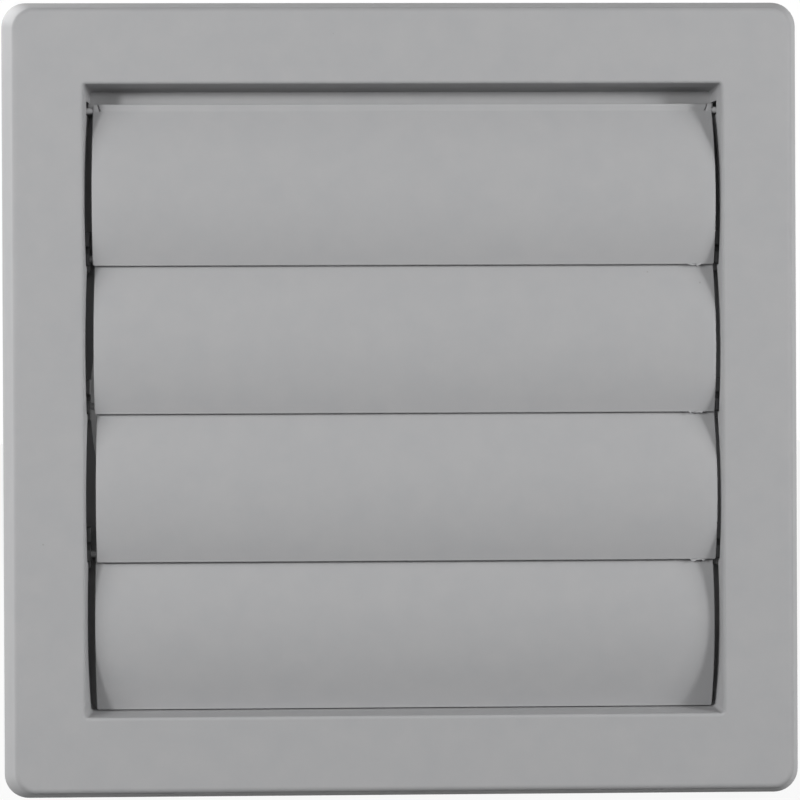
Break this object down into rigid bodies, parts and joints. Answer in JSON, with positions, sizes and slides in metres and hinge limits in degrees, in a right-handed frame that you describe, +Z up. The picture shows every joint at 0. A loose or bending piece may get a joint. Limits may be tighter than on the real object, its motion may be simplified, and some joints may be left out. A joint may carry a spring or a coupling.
{
  "type": "louvre vent",
  "caption": "Square gravity louvre vent: hinged convex flaps lap each other in a lipped window frame, on a base plate with a round duct spigot.",
  "frame": {"origin": "on the duct spigot's axis, in the plane of the wall, where the frame's rear rim lies", "axes": "+Y into the wall along the spigot, +Z up, +X to the right as seen from the room"},
  "size_m": [0.185, 0.061, 0.1844],
  "materials": {
    "frame_plastic": "fine moulded texture, light grey",
    "box_plastic": "plain moulded, light grey",
    "flap_plastic": "smooth satin moulding, light grey"
  },
  "bodies": {
    "housing": {"front_frame": "frame_plastic", "base_plate": "box_plastic", "flap_housing": "box_plastic"},
    "flap_1": {"flap_1": "flap_plastic"},
    "flap_2": {"flap_2": "flap_plastic"},
    "flap_3": {"flap_3": "flap_plastic"},
    "flap_4": {"flap_4": "flap_plastic"}
  },
  "joints": [
    {"name": "flap_1_hinge", "type": "hinge", "parent": "housing", "child": "flap_1", "pos_m": [0, -0.0098, 0.0661], "axis": [-1, 0, 0], "range_deg": [0, 90]},
    {"name": "flap_2_hinge", "type": "hinge", "parent": "housing", "child": "flap_2", "pos_m": [0, -0.0098, 0.03241], "axis": [-1, 0, 0], "range_deg": [0, 90]},
    {"name": "flap_3_hinge", "type": "hinge", "parent": "housing", "child": "flap_3", "pos_m": [0, -0.0098, -0.00128], "axis": [-1, 0, 0], "range_deg": [0, 90]},
    {"name": "flap_4_hinge", "type": "hinge", "parent": "housing", "child": "flap_4", "pos_m": [0, -0.0098, -0.03496], "axis": [-1, 0, 0], "range_deg": [0, 90]}
  ],
  "couplings": [
    {"joint": "flap_2_hinge", "follows": "flap_1_hinge", "ratio": 1},
    {"joint": "flap_3_hinge", "follows": "flap_1_hinge", "ratio": 1},
    {"joint": "flap_4_hinge", "follows": "flap_1_hinge", "ratio": 1}
  ]
}
